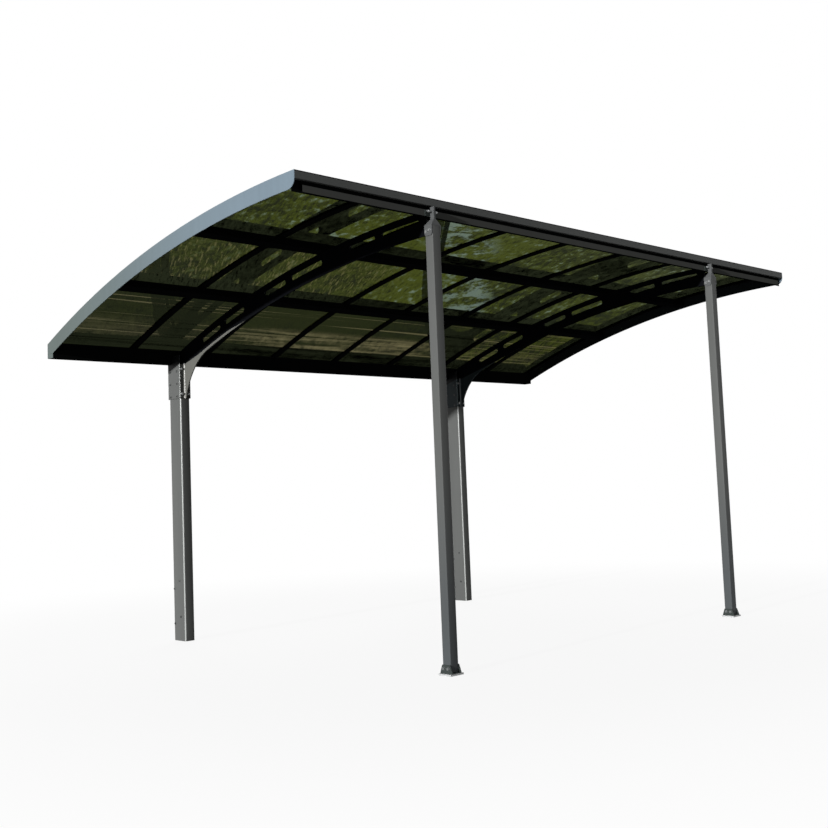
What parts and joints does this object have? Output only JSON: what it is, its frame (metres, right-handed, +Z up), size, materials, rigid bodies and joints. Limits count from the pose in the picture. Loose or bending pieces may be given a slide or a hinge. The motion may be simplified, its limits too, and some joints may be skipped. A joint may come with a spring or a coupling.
{
  "type": "carport",
  "caption": "Open carport with an arched single-slope roof of tinted sheets in a metal frame, on slotted curved arms with rear posts and slim front props, with a gutter at the low side.",
  "frame": {"origin": "middle of the overall box at ground level", "axes": "+X along the roof towards its far end, +Y from the high front edge to the gutter, +Z up"},
  "size_m": [5, 2.955, 2.7],
  "materials": {
    "frame_paint": "satin anthracite powder coat",
    "roof_sheet": "glossy smoked bronze, see-through",
    "zinc": "dull zinc coat"
  },
  "bodies": {
    "root": {"arch_near": "frame_paint", "arch_far": "frame_paint", "front_trim": "frame_paint", "front_beam": "frame_paint", "purlin_upper": "frame_paint", "purlin_lower": "frame_paint", "gutter_floor": "frame_paint", "gutter_inner": "frame_paint", "gutter_outer": "frame_paint", "gutter_cap_near": "frame_paint", "gutter_cap_far": "frame_paint", "bar_1": "frame_paint", "bar_2": "frame_paint", "bar_3": "frame_paint", "bar_4": "frame_paint", "bar_5": "frame_paint", "bar_6": "frame_paint", "bar_7": "frame_paint", "sheet_1": "roof_sheet", "sheet_2": "roof_sheet", "sheet_3": "roof_sheet", "sheet_4": "roof_sheet", "sheet_5": "roof_sheet", "sheet_6": "roof_sheet", "sheet_7": "roof_sheet", "sheet_8": "roof_sheet", "arm_near": "frame_paint", "arm_far": "frame_paint", "sleeve_near": "frame_paint", "sleeve_far": "frame_paint", "post_near": "frame_paint", "post_far": "frame_paint", "anchor_near": "zinc", "anchor_far": "zinc", "prop_near": "frame_paint", "prop_far": "frame_paint", "head_near": "frame_paint", "head_far": "frame_paint", "lug_near": "frame_paint", "lug_far": "frame_paint", "foot_near": "frame_paint", "foot_far": "frame_paint", "base_near": "zinc", "base_far": "zinc"}
  },
  "joints": []
}
